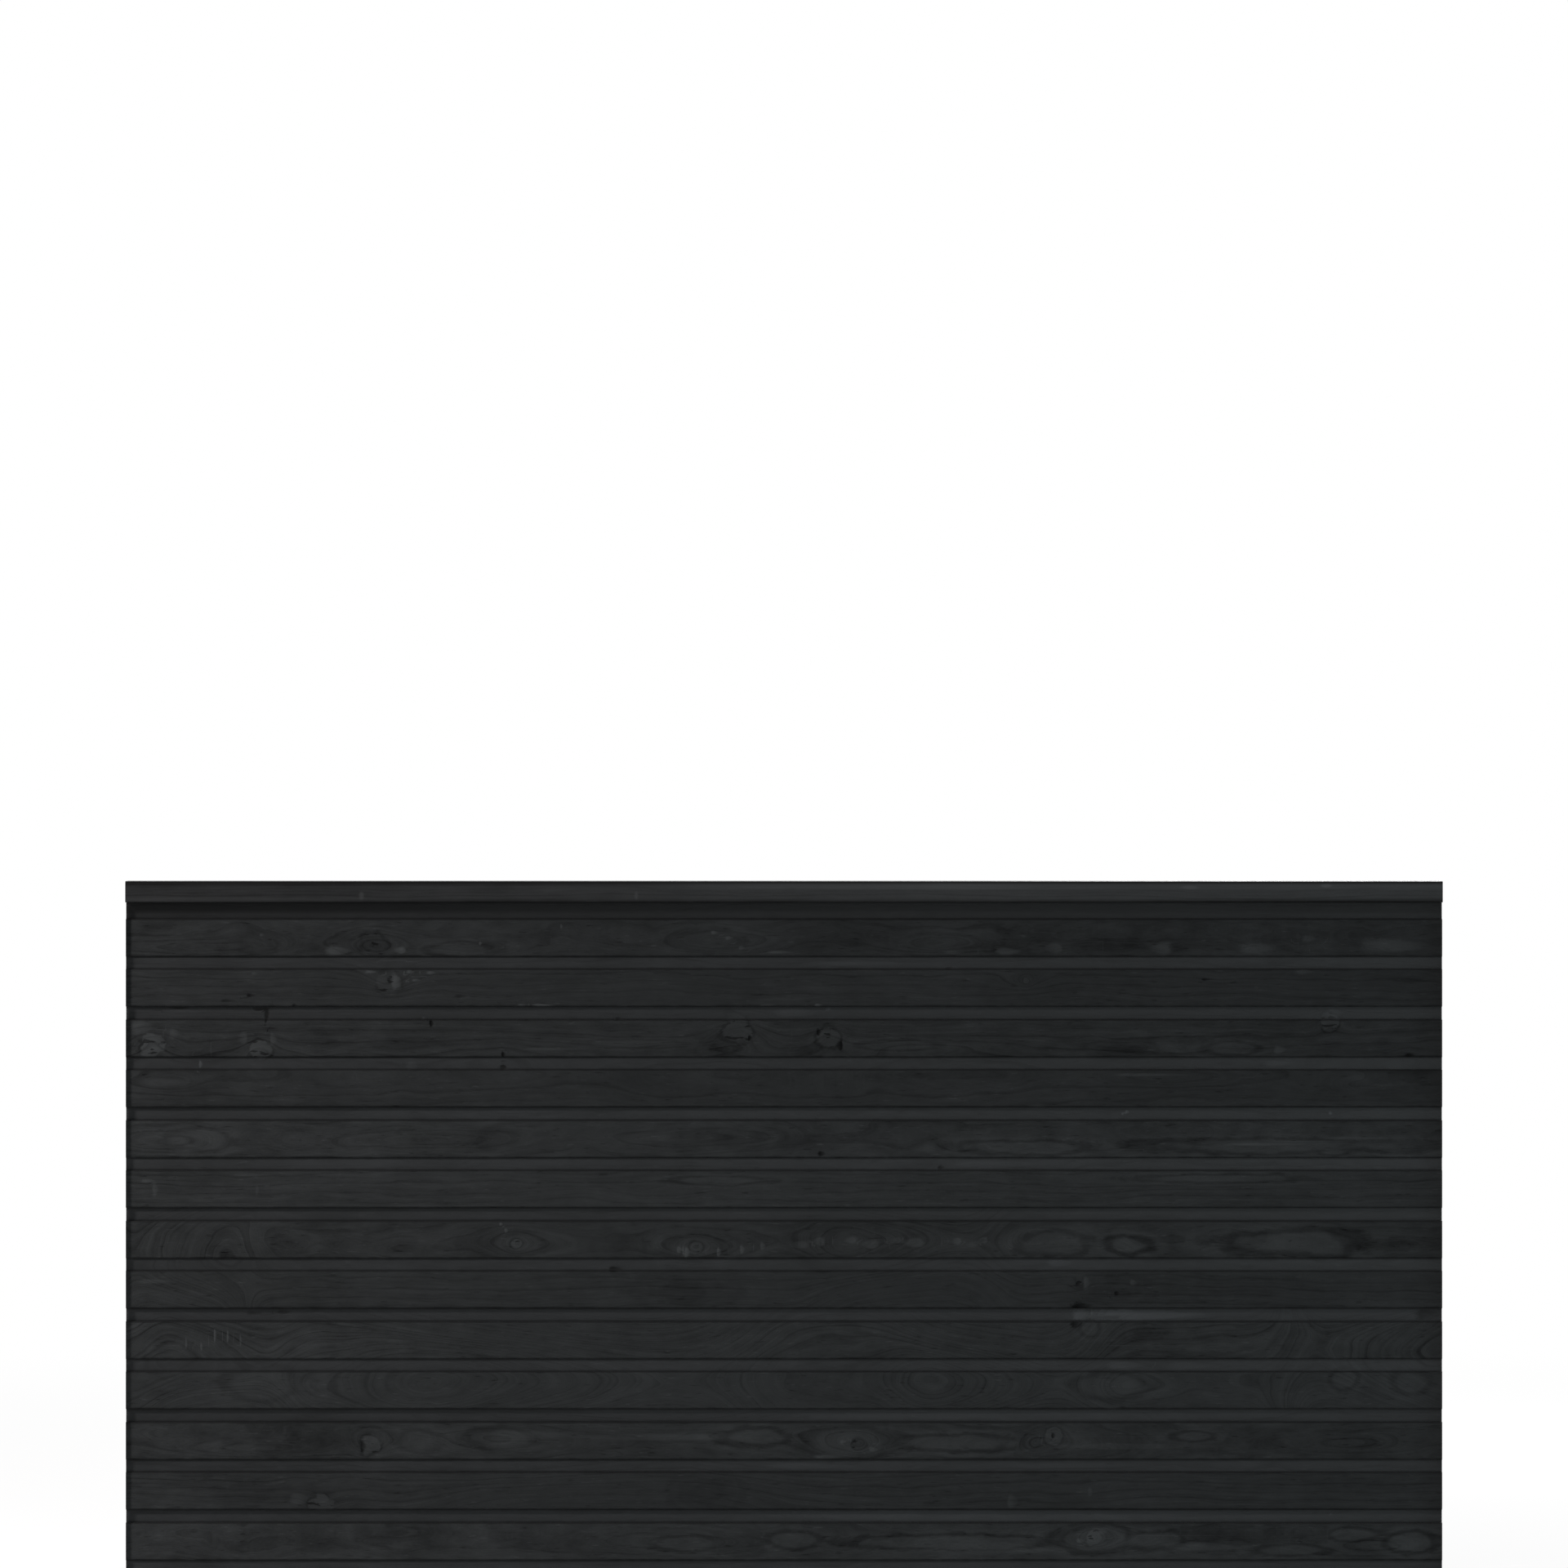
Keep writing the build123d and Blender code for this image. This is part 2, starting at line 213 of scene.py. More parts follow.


# Growth of the boards. Places are in millimetres, along the panel from its middle and up from the board's own
# lower edge. A swell is a bulge of the growth rings towards the face, which shows as nested ovals: its place,
# its reach each way and the rings that it shows. A run of arcs is where the rings leave the face across the
# board: its place, its reach along, its number of arcs and how far they bend. An eye is a bold lens of the
# figure: its place, its half length and half height, and its tone. A knot has its place, its radius and how
# pale it is. A mark is a fleck of torn grain or a split: its place, its half length and half height, and its
# tone, pale above 0 and dark below. It is blunt at its left end, or at its right end if the length is negative.
# Each board has a seed for what is uneven in it, its tone (how pale it took the stain, and partly painted
# light: the boards lower down are lighter), how far its pith lies in front of its face and above its lower
# edge, how thick a ring is, and what shows on its face.
board_growth = [
    dict(
        seed=11, tone=0.79, pith=(48, 96), ring=4.6, arcs=[],
        swells=[(-541, 80, 62, 16, 3), (-422, 77, 60, 9, 2), (-85, 88, 70, 16, 3), (-750, 78, 90, 10, 2),
                (320, 34, 30, 12, 2), (-517, 34, 50, 20, 2), (200, 84, 60, 12, 2)],
        eyes=[(-541, 80, 46, 15, -0.18), (430, 78, 60, 7.5, -0.45), (300, 75, 36, 9, -0.4),
              (-422, 76, 52, 9, 0.4), (-105, 88, 44, 14, 0.25),
              (-740, 76, 38, 7, -0.4), (662, 90, 22, 20, -0.3), (-390, 80, 18, 9, -0.3)],
        knots=[(-541, 80, 19, -0.04), (-522, 32, 17, 0.2), (320, 34, 5, 0.3)],
        marks=[(-589, 74, 17, 6, 0.8), (-509, 75, -10, 5, 0.9), (-512, 33, 8, 10, 0.9),
               (-546, 46, 10, 2.5, 1.0), (-494, 46, 6, 2.5, 0.9), (-466, 45, 8, 2.5, 1.0),
               (-486, 35, 7, 2, 0.9), (-426, 14, 10, 2, -0.5), (-345, 2, 7, 1.6, 1.0), (-317, 2, 15, 1.6, 1.1),
               (-401, 84, 2, 2, 1.0), (-294, 106, 2, 3, 0.9), (-92, 98, 5, 2.5, 0.8), (-72, 91, 6, 2.5, 0.7),
               (-56, 78, 5, 3, 0.6), (218, 51, 6, 2, -0.8), (-647, 2, 5, 3, -0.8), (356, 78, -14, 8, 0.55),
               (496, 77, -16, 8, 0.65), (628, 77, 26, 8, 0.6), (694, 90, 11, 5, 0.4), (812, 80, 48, 9, 0.6),
               (689, 46, 13, 3, 0.5), (558, 36, 6, 1.3, -0.8), (298, 73, 18, 5, 0.7), (224, 72, 14, 2.5, 0.4),
               (-5, 72, 19, 2, 0.7), (-20, 2, 13, 1.6, 0.6),
               (46, 2, 5, 2, 1.1), (110, 57, 80, 3, 0.4), (-690, 95, 3, 2, 0.6), (-700, 44, 5, 2, 0.5),
               (-705, 15, 5, 2, -0.7), (-735, 8, 10, 2, -0.5)],
    ),
    dict(
        seed=23, tone=0.815, pith=(60, 44), ring=4.0, arcs=[],
        swells=[(518, 40, 70, 9, 2), (200, 80, 100, 10, 2), (-60, 100, 46, 16, 1), (-118, 78, 60, 6, 1),
                (-815, 33, 36, 10, 3)],
        eyes=[(448, 77, 34, 8, -0.5), (594, 78, 34, 8, 0.5), (-90, 78, 20, 11, -0.45), (25, 74, 17, 9, -0.45),
              (148, 82, 54, 6, 0.35), (-200, 84, 70, 6, 0.25)],
        knots=[(-834, 83, 18, 0.8), (-693, 77, 15, 0.7), (-60, 103, 22, 0.24), (59, 92, 15, 0.18),
               (722, 112, 13, 0.5)],
        marks=[(-45, 92, 3, 3.5, -1.0), (-466, 111, 3, 5, -1.0), (-371, 70, 3.5, 4.5, -1.0), (46, 99, 3, 5.5, -0.9),
               (73, 82, -5, 6.5, -0.9), (-371, 53, 6, 4.5, -1.5), (-771, 57, 2.5, 4.5, 1.3), (-492, 56, 10, 7, 0.35),
               (828, 69, 7, 3.5, -0.8), (-848, 106, 16, 10, 0.55), (-303, 77, 44, 2, 0.4), (729, 125, 13, 7, 0.5),
               (-684, 123, 3.4, 12, -1.5), (-691, 130.5, 12, 3.2, -1.5), (-799, 131.5, 17, 2.2, -1.3),
               (60, 130, 2.5, 2, 1.0), (-476, 118, 2, 1.8, 0.8), (-219, 117, 4, 2, -0.8), (16, 125, 30, 6, 0.4),
               (656, 76, 10, 6, 0.6), (658, 58, 22, 4, 0.4), (486, 43, 54, 2, 0.5), (-815, 33, 34, 5, 0.35),
               (-716, 92, -7, 8, 0.45), (-675, 90, 5, 9, 0.45), (-806, 98, 7, 8, 0.35), (800, 36, 66, 10, 0.3)],
    ),
    dict(
        seed=37, tone=0.98, pith=(52, 98), ring=5.0, arcs=[], knots=[],
        swells=[(-820, 88, 60, 14, 2), (367, 78, 160, 9, 1), (497, 32, 160, 8, 1), (-120, 92, 100, 12, 2),
                (-480, 90, 120, 14, 2)],
        eyes=[(310, 80, 84, 9, 0.5), (650, 82, 190, 10, 0.45), (725, 74, 22, 5, 0.5), (561, 39, 116, 6, 0.45),
              (-86, 36, 66, 6, 0.4), (-60, 88, 60, 12, -0.3), (-780, 90, 46, 13, 0.25)],
        marks=[(50, 72, 5, 3, -0.8), (207, 53, 4.5, 3, -1.0), (454, 127, 2.5, 2.2, 1.3), (448, 124, 2, 1.6, 1.2),
               (723, 125, 2.5, 2.2, 1.3), (640, 84, 60, 2, 0.5), (760, 92, 50, 2, 0.4), (-831, 24, 4, 10, 0.4),
               (-696, 24, 2.5, 7, 0.3), (278, 58, 64, 5, 0.35), (-840, 36, 12, 2.5, 0.6), (-700, 44, 30, 2, 0.4)],
    ),
    dict(
        seed=41, tone=0.92, pith=(44, 90), ring=4.8,
        swells=[(-352, 86, 46, 17, 3), (-112, 81, 66, 19, 4)],
        arcs=[(-800, 80, 90, 10, -2.6), (160, 86, 110, 8, 2.4)],
        eyes=[(-351, 86, 40, 15, 0.3), (-119, 80, 42, 16, 0.3), (360, 86, 46, 16, 0.5), (452, 84, 33, 13, 0.75),
              (669, 87, 90, 18, 0.65), (669, 89, 14, 5, -0.5), (812, 85, 44, 6, -0.6),
              (-130, 24, 52, 20, -0.35), (-216, 80, 24, 14, -0.25),
              (600, 24, 60, 18, -0.2), (434, 24, 34, 16, -0.3)],
        knots=[(-353, 86, 8, 0.35), (-116, 80, 10, 0.25), (391, 31, 6, -0.2)],
        marks=[(-138, 78, 4, 5, 0.8), (-128, 75, 4, 7, 1.0), (-86, 75, 3, 7, 0.9), (-55, 78, 4, 6, 0.7),
               (-28, 82, 4, 6, 0.6), (20, 84, -15, 5, 0.4), (46, 89, -8, 6, 0.6), (88, 90, -11, 6, 0.55),
               (112, 85, -14, 6, 0.45), (148, 91, -8, 4, 0.3), (170, 87, -16, 6, 0.55), (228, 89, -8, 6, 0.55),
               (246, 84, -10, 4, 0.3), (262, 90, -7, 4, 0.5),
               (-374, 112, 2.5, 2, 1.0), (-367, 103, 2.5, 3, 0.8), (-223, 52, 9, 3.5, -1.0), (367, 60, 18, 5, 0.5),
               (394, 3, 15, 5, -0.9), (400, 34, 5, 9, 0.5), (462, 34, 5, 4, 0.5), (440, 20, 4, 3, -0.8),
               (-830, 36, 26, 3, 0.4)],
    ),
    dict(
        seed=53, tone=1.04, pith=(46, 34), ring=5.2, knots=[],
        swells=[(-690, 34, 70, 34, 4), (456, 30, 60, 26, 3)],
        arcs=[(-748, 91, 90, 8, 1.4), (-300, 34, 230, 20, 3.2), (280, 32, 120, 14, 3.0), (780, 60, 110, 10, -2.6)],
        eyes=[(-690, 34, 52, 22, 0.25), (437, 30, 52, 16, 0.35), (475, 101, 20, 8, -0.45), (740, 40, 17, 14, 0.4),
              (831, 35, 28, 18, 0.35), (405, 106, 13, 12, 0.35)],
        marks=[(477, 124, 94, 8, 1.0), (395, 124, 16, 8, 1.0), (430, 122, 40, 4, 0.5), (850, 125, 19, 8, -0.8),
               (-700, 127, 13, 3, -0.6), (-660, 128, 10, 2.5, -0.6), (386, 112, 9, 5, -0.8), (453, 58, 24, 5, 0.45),
               (540, 57, 34, 5, 0.3), (-752, 97, 1.6, 9, 0.9), (-735, 97, 1.6, 8, 0.8), (-770, 82, 1.6, 7, 0.7),
               (-718, 90, 1.6, 8, 0.6), (-790, 88, 1.6, 8, 0.6)],
    ),
    dict(
        seed=67, tone=0.98, pith=(50, 94), ring=4.8,
        swells=[(-378, 94, 40, 12, 2), (86, 88, 50, 18, 4), (-700, 80, 100, 10, 2), (740, 88, 70, 12, 2)],
        arcs=[(-240, 80, 200, 2, 1.2)],
        eyes=[(-378, 94, 46, 14, 0.32), (-43, 97, 48, 13, 0.6), (86, 88, 64, 22, 0.4), (221, 88, 86, 11, 0.6),
              (540, 97, 30, 7, 0.5), (-615, 88, 52, 21, -0.3), (-712, 24, 58, 20, -0.3), (-103, 22, 34, 20, -0.4),
              (640, 88, 40, 14, -0.25), (-486, 92, 30, 14, 0.25), (330, 88, 20, 16, -0.3)],
        knots=[(-545, 88, 14, 0.45), (-611, 5, 17, 0.45), (356, 97, 14, 0.5), (329, 89, 10, 0.1),
               (100, 86, 9, -0.3)],
        marks=[(78, 90, 5, 3, 0.6), (118, 80, 6, 3, 0.6), (302, 11, 7, 9, 0.4), (405, 24, 4, 7, 0.4),
               (-556, 84, 4, 8, -0.7), (356, 98, 3, 4, -0.8), (-640, 14, 14, 8, 0.4), (30, 58, 60, 4, 0.4),
               (60, 70, 20, 3, 0.6), (400, 58, 120, 3, 0.25), (380, 125, 400, 8, 0.35),
               (-170, 96, -130, 5, 0.42), (-330, 99, 60, 6, 0.35), (470, 84, 130, 4, 0.3), (-350, 85, 40, 6, 0.35)],
    ),
    dict(
        seed=71, tone=1.13, pith=(54, 102), ring=5.0, arcs=[],
        swells=[(407, 96, 60, 20, 3), (791, 84, 66, 13, 2), (-149, 90, 110, 14, 3)],
        eyes=[(410, 96, 50, 18, 0.55), (410, 97, 19, 8, 0.5), (210, 90, 128, 10, 0.5), (488, 93, 44, 13, 0.55),
              (675, 80, 44, 8, 0.5), (828, 90, 34, 13, 0.7), (750, 100, 44, 9, 0.5), (640, 100, 110, 9, -0.4),
              (-130, 88, 46, 11, 0.45),
              (-64, 90, 30, 12, -0.35), (16, 93, 34, 12, 0.45), (-340, 90, 60, 9, -0.25), (-520, 94, 70, 10, -0.2)],
        knots=[(409, 97, 11, 0.5)],
        marks=[(723, 127, 2.5, 2.2, 1.3), (392, 92, 5, 3, 0.6), (420, 103, 6, 3, 0.5), (400, 125, 480, 8, 0.42),
               (560, 84, 60, 5, 0.35), (270, 80, -120, 4, 0.3)],
    ),
]


def soft_noise(across, up, reach_across, reach_up, seed):
    """Smooth random values from -1 to 1: seeded values on a grid of the two reaches, joined by the curve
    3t^2 - 2t^3 in both directions."""
    rows, columns = 61, 997
    grid = np.random.default_rng(seed).uniform(-1, 1, (rows, columns))
    a = across / reach_across + columns / 2
    u = up / reach_up + rows / 2
    a0, u0 = np.floor(a).astype(int), np.floor(u).astype(int)
    fa, fu = a - a0, u - u0
    fa, fu = fa * fa * (3 - 2 * fa), fu * fu * (3 - 2 * fu)
    low, high = [
        grid[row % rows, a0 % columns] * (1 - fa) + grid[row % rows, (a0 + 1) % columns] * fa for row in (u0, u0 + 1)
    ]
    return low * (1 - fu) + high * fu


def run_places(length, step):
    """Distances along a straight run: close together at both ends, where arrises and corners are, and
    evenly spaced between."""
    if length < short_run:
        return np.linspace(0, length, max(2, round(length / short_step) + 1))[:-1]
    near = end_places[-1]
    middle = np.linspace(near, length - near, max(2, round((length - 2 * near) / step) + 1))
    return np.concatenate([end_places[:-1], middle, [length - end_places[1]]])


def round_outline(corners):
    """A closed outline through right-angled corners (depth, height, radius, step, planed). Each corner is a
    quarter circle P + r (in sin t + out (1 - cos t)); a run between two corners is straight. Returns the
    points, their outward normals, the nearness to an arris, the amount of painted shade in corners and beside
    arrises, and which runs are planed."""
    count = len(corners)
    arris_shades = [lower_arris_painted_shade if corner[2] == lower_arris else arris_painted_shade for corner in corners]
    runs = []
    spots = np.array([corner[:2] for corner in corners])
    ways = np.roll(spots, -1, axis=0) - spots
    lengths = np.linalg.norm(ways, axis=1)
    ways = ways / lengths[:, None]
    sides = np.stack([-ways[:, 1], ways[:, 0]], axis=1)
    for k in range(count):
        radius, step, is_planed = corners[k][2:]
        arriving, leaving = ways[k - 1], ways[k]
        turn = arriving[0] * leaving[1] - arriving[1] * leaving[0]
        if radius:
            is_round = radius > tongue_chamfer or step == front_step
            t = np.linspace(0, math.pi / 2, round_points if is_round else chamfer_points)[:-1, None]
            arc = spots[k] - arriving * radius
            arc = arc + radius * (arriving * np.sin(t) + leaving * (1 - np.cos(t)))
            turned = sides[k - 1] * np.cos(t) + sides[k] * np.sin(t)
            runs.append((arc, turned, *[np.full(len(t), value) for value in (1.0, arris_shades[k], is_planed)]))
        start = radius
        end = lengths[k] - corners[(k + 1) % count][2]
        places = start + run_places(end - start, step)
        run_normals = np.repeat(sides[k][None], len(places), axis=0)
        if not radius:
            run_normals[0] = (sides[k - 1] + sides[k]) / math.sqrt(2)
        next_turn = ways[k][0] * ways[(k + 1) % count][1] - ways[k][1] * ways[(k + 1) % count][0]
        from_start, to_end = places - start, end - places
        outer, shade_near = np.zeros((2, len(places)))
        both_ends = ((from_start, turn, arris_shades[k]), (to_end, next_turn, arris_shades[(k + 1) % count]))
        for distance, corner_turn, most in both_ends:
            if corner_turn < 0:
                outer = np.maximum(outer, np.exp(-distance / wear_reach))
                shade_near = np.maximum(shade_near, most * np.exp(-distance / arris_painted_shade_reach))
            else:
                shade_near = np.maximum(shade_near, np.exp(-distance / corner_painted_shade_reach))
        run = spots[k] + ways[k] * places[:, None]
        runs.append((run, run_normals, outer, shade_near, np.full(len(places), is_planed)))
    return [np.concatenate(part) for part in zip(*runs)]


def board_outline(cut_level):
    """The section of a board, from its lower front edge round to its lower back edge. Below the cut level
    it is sawn off."""
    sawn, planed = 0, 1
    front = [
        (0, 0, lower_arris, sawn),
        (0, face_height, upper_arris, planed),
        (middle_groove_depth, face_height, 0, planed),
        (middle_groove_depth, upper_face_level, 0, planed),
        (0, upper_face_level, lower_arris, sawn),
        (0, shelf_level, upper_arris, planed),
        (shelf_depth, shelf_level, 0, planed),
    ]
    back = [
        (shelf_depth, tongue_tip_level, tongue_chamfer),
        (tongue_back, tongue_tip_level, tongue_chamfer),
        (tongue_back, shoulder_level, 0),
        (board_thickness, shoulder_level, 0),
    ]
    foot = [
        (board_thickness, 0, 0),
        (groove_depth_back, 0, 0),
        (groove_depth_back, groove_top, 0),
        (groove_depth_front, groove_top, 0),
        (groove_depth_front, 0, 0),
    ]
    if cut_level > face_height:
        front = [(middle_groove_depth, cut_level, 0, planed)] + front[3:]
        foot = [(board_thickness, cut_level, 0)]
    corners = [(depth, height, radius, front_step, is_planed) for depth, height, radius, is_planed in front]
    corners += [(depth, height, radius, back_step, planed) for depth, height, radius in back + foot]
    return round_outline(corners)


def ring_numbers(x, depth, height, grown):
    """Which growth ring each point lies in: its distance from the pith, a line along the board that
    wanders slowly, over the thickness of a ring; a swell adds rings by exp(-(x/a)^2 - (z/b)^2) so that its
    middle is the pale start of a ring, a run of arcs adds exp(-(x/a)^4) (n x/a + b (z/c)^2), and a knot takes
    away 2.5 exp(-(r/1.6)^2), where r is the distance in the knot's radii."""
    seed = grown["seed"]
    pith_depth, pith_height = grown["pith"]
    wander = soft_noise(x, 0 * x, 0.42, 1, seed) * 5 * MM + soft_noise(x, 0 * x, 0.15, 1, seed + 1) * 1.6 * MM
    rise = soft_noise(x, 0 * x, 0.6, 1, seed + 2) * 9 * MM
    from_pith = np.hypot(depth + pith_depth * MM + wander, height - pith_height * MM - rise)
    rings = from_pith / (grown["ring"] * MM)
    rings = rings + 0.9 * soft_noise(x, height, 0.11, 0.03, seed + 3)
    rings = rings + 0.3 * soft_noise(x, height, 0.035, 0.012, seed + 4)
    for at, up, reach, reach_up, count in grown["swells"]:
        shape = np.exp(-((x - at * MM) / (reach * MM)) ** 2 - ((height - up * MM) / (reach_up * MM)) ** 2)
        middle = np.unravel_index(np.argmax(shape), shape.shape)
        rings = rings - shape * (count + (rings[middle] - 0.3) % 1)
    for at, up, reach, count, bend in grown["arcs"]:
        along, rise = (x - at * MM) / (reach * MM), (height - up * MM) / (face_height / 2)
        rings = rings + np.exp(-(along ** 4)) * (count * along + bend * rise ** 2)
    for at, up, radius, _ in grown["knots"]:
        away = np.hypot(x - at * MM, (height - up * MM) * 1.15) / (radius * MM)
        rings = rings - 2.5 * np.exp(-((away / 1.6) ** 2))
    return rings


def nearest_place(x, height, places):
    """The way from the nearest of some ovals to each point, in half lengths along the panel and half heights
    up it, with that oval's own value, and the distance. The way is turned end for end where the half length
    is negative."""
    way = np.full((*x.shape, 3), [far_away, far_away, 0.0])
    nearest = np.full(x.shape, far_away)
    for at, up, reach, reach_up, own in places:
        along, rise = (x - at * MM) / (reach * MM), (height - up * MM) / (reach_up * MM)
        away = np.hypot(along, rise)
        mine = away < nearest
        way[mine] = np.stack([along, rise, np.full(x.shape, own)], axis=-1)[mine]
        nearest = np.minimum(nearest, away)
    return way, nearest


def make_mesh(name, vertices, faces, face_materials, materials, values):
    """A piece from its vertices and faces, shaded smooth but for its sharp edges, with values at its points."""
    mesh = bpy.data.meshes.new(name)
    mesh.from_pydata(vertices, [], faces)
    for material in materials:
        mesh.materials.append(material)
    mesh.polygons.foreach_set("material_index", face_materials)
    mesh.polygons.foreach_set("use_smooth", np.ones(len(faces), bool))
    for key, numbers in values.items():
        is_vector = numbers.ndim == 3
        layer = mesh.attributes.new(key, "FLOAT_VECTOR" if is_vector else "FLOAT", "POINT")
        layer.data.foreach_set("vector" if is_vector else "value", numbers.astype(np.float32).ravel())
    mesh.set_sharp_from_angle(angle=sharp_edge)
    mesh.update()
    piece = bpy.data.objects.new(name, mesh)
    bpy.context.scene.collection.objects.link(piece)
    return piece


def grid_faces(rows, columns):
    """Quads of a grid of points that is open along its rows and closed round its columns."""
    i, j = np.meshgrid(np.arange(rows - 1), np.arange(columns), indexing="ij")
    k = (j + 1) % columns
    return np.stack([i * columns + j, (i + 1) * columns + j, (i + 1) * columns + k, i * columns + k], axis=-1)


def make_board(node, level, grown, materials, top_line):
    """A board whose section is carried along the panel. Each point moves inwards along its normal by the
    wear of the arrises, a shallow hollow of the sawn faces, a groove round each knot and the depth of each
    dark mark. The top line is where what lies above covers the shelf; the shelf has painted shade just below
    it, and under the rail the whole shelf is darkened by painted shade, less at its foot. Each point carries
    what the stain needs: its ring, its painted shade in corners and beside arrises, its tone with the painted
    light and shade in it, its strength of grain, and the ways from the nearest knot, mark and eye."""
    cut_level = max(-level, 0)
    points, normals, outer, corner, planed = board_outline(cut_level)
    columns = np.linspace(panel_low.x, panel_high.x, round(panel_length / column_step) + 1)
    x, depth, height = np.broadcast_arrays(columns[:, None], points[:, 0], points[:, 1])
    seed = grown["seed"]
    shelf = (np.abs(points[:, 0] - shelf_depth) < hair) & (points[:, 1] > shelf_level)
    # Painted shade on each shelf just below what covers it
    corner = np.maximum(corner, shelf * np.exp(-np.clip(top_line - points[:, 1], 0, 1) / shelf_painted_shade_reach))
    shaded_shelf = shelf * (top_line > board_cover)

    shown = depth < shelf_depth + hair
    rough = soft_noise(x, height, 0.012, 0.05, seed + 10) + soft_noise(x, height, 0.03, 0.05, seed + 11)
    torn = np.clip(soft_noise(x, height, 0.018, 0.03, seed + 12) - 0.55, 0, 1)
    wear = outer * (arris_wear * (1 + 0.5 * rough) + torn_arris_wear * torn)
    hollow = (1 - planed) * sawn_hollow * (1 + soft_noise(x, height, 0.09, 0.02, seed + 13))
    knot, near_knot = nearest_place(x, height, [(a, u, r, r / knot_length, own) for a, u, r, own in grown["knots"]])
    mark, near_mark = nearest_place(x, height, grown["marks"])
    eye, near_eye = nearest_place(x, height, grown["eyes"])
    # Painted shade on the shelf under the rail, lighter at the foot of the recess
    recess_shade = np.interp(columns, recess_shade_places, recess_shade_tones)[:, None]
    lit_foot = np.clip((shelf_level + lit_foot_height - points[:, 1]) / lit_foot_fade, 0, 1)
    recess_shade = recess_shade + (recess_shade_foot_tone - recess_shade) * lit_foot
    # Each board's tone is partly painted light, lighter lower down; under the rail it carries the painted shade
    tone = grown["tone"] * (1 + shaded_shelf * (recess_shade - 1))
    sawn_grain = np.where(height < face_height, lower_face_grain, 1.0) * np.interp(x, grain_places, grain_and_painted_light_amounts)
    grain = sawn_grain + planed * (1 - sawn_grain)
    round_knot = knot_groove * np.exp(-(((near_knot - 1) / 0.25) ** 2))
    sunk = dark_mark_depth * np.clip(-mark[..., 2], 0, 1) * np.clip(1.2 - near_mark, 0, 1)
    inwards = shown * np.clip(wear + hollow + round_knot + sunk, 0, greatest_depth)

    vertices = np.stack(
        [x, board_front + depth - inwards * normals[:, 0], level + height - inwards * normals[:, 1]], axis=-1
    )
    quads = grid_faces(len(columns), len(points)).reshape(-1, 4)
    first = list(range(len(points)))
    last = list(range(len(points) * len(columns) - 1, len(points) * (len(columns) - 1) - 1, -1))
    row_material = np.tile(planed.astype(int), len(columns) - 1)
    face_materials = np.concatenate([row_material, [2, 2]])
    mark[~shown] = far_away
    values = {
        "rings": ring_numbers(x, depth, height, grown),
        "corner": corner + 0 * x,
        "tone": tone,
        "grain": grain,
        "knot": knot,
        "mark": mark,
        "eye": np.stack([near_eye, eye[..., 2], 0 * x], axis=-1),
    }
    piece = make_mesh(
        node + "_wood", vertices.reshape(-1, 3), quads.tolist() + [first, last], face_materials, materials, values
    )
    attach(piece, "root")
    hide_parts(node)


def add_node(tree, kind, inputs=None, **settings):
    """A node with its settings, and with a value or another node's socket on each input that is named."""
    made = tree.nodes.new(kind)
    for key, value in settings.items():
        setattr(made, key, value)
    for key, value in (inputs or {}).items():
        if isinstance(value, bpy.types.NodeSocket):
            tree.links.new(value, made.inputs[key])
        else:
            made.inputs[key].default_value = value
    return made


def calculate(tree, operation, a, b=0.0, c=0.0):
    """The result of one sum on two or three numbers or sockets."""
    return add_node(tree, "ShaderNodeMath", {0: a, 1: b, 2: c}, operation=operation).outputs[0]


def times(tree, *values):
    """The product of some numbers or sockets."""
    total = values[0]
    for value in values[1:]:
        total = calculate(tree, "MULTIPLY", total, value)
    return total


def plus(tree, first, *parts):
    """A value plus each part times its own amount."""
    total = first
    for value, amount in parts:
        total = calculate(tree, "MULTIPLY_ADD", value, amount, total)
    return total


def spread(tree, value, low, high, to_low=0.0, to_high=1.0):
    """A value eased from one range into another, and held at its ends."""
    ranged = add_node(
        tree, "ShaderNodeMapRange",
        {"Value": value, "From Min": low, "From Max": high, "To Min": to_low, "To Max": to_high},
        interpolation_type="SMOOTHSTEP",
    )
    return ranged.outputs["Result"]


def band(tree, value, rise, fall):
    """1 where a value lies between two edges, and eased to 0 over the range of each."""
    return times(tree, spread(tree, value, *rise), spread(tree, value, *fall))


def noise(tree, vector, scale, detail=2.0, roughness=0.5):
    """Noise on a vector, from 0 to 1."""
    made = add_node(
        tree, "ShaderNodeTexNoise",
        {"Vector": vector, "Scale": scale, "Detail": detail, "Roughness": roughness},
    )
    return made.outputs["Fac"]


def combine(tree, x, y, z):
    """A vector from three numbers or sockets."""
    return add_node(tree, "ShaderNodeCombineXYZ", {"X": x, "Y": y, "Z": z}).outputs["Vector"]


def length_of(tree, x, y, z=0.0):
    """The length of a vector with these parts."""
    return add_node(tree, "ShaderNodeVectorMath", {0: combine(tree, x, y, z)}, operation="LENGTH").outputs["Value"]


def new_material(name, gloss=0.5):
    """An empty material, its node tree and its shader, with its gloss."""
    material = bpy.data.materials.new(name)
    material.use_nodes = True
    tree = material.node_tree
    tree.nodes.clear()
    shader = tree.nodes.new("ShaderNodeBsdfPrincipled")
    output = tree.nodes.new("ShaderNodeOutputMaterial")
    tree.links.new(shader.outputs["BSDF"], output.inputs["Surface"])
    shader.inputs["Specular IOR Level"].default_value = gloss
    return material, tree, shader


def object_place(tree):
    """The point on the piece, and its three coordinates, in metres."""
    place = add_node(tree, "ShaderNodeTexCoord").outputs["Object"]
    return place, *add_node(tree, "ShaderNodeSeparateXYZ", {"Vector": place}).outputs


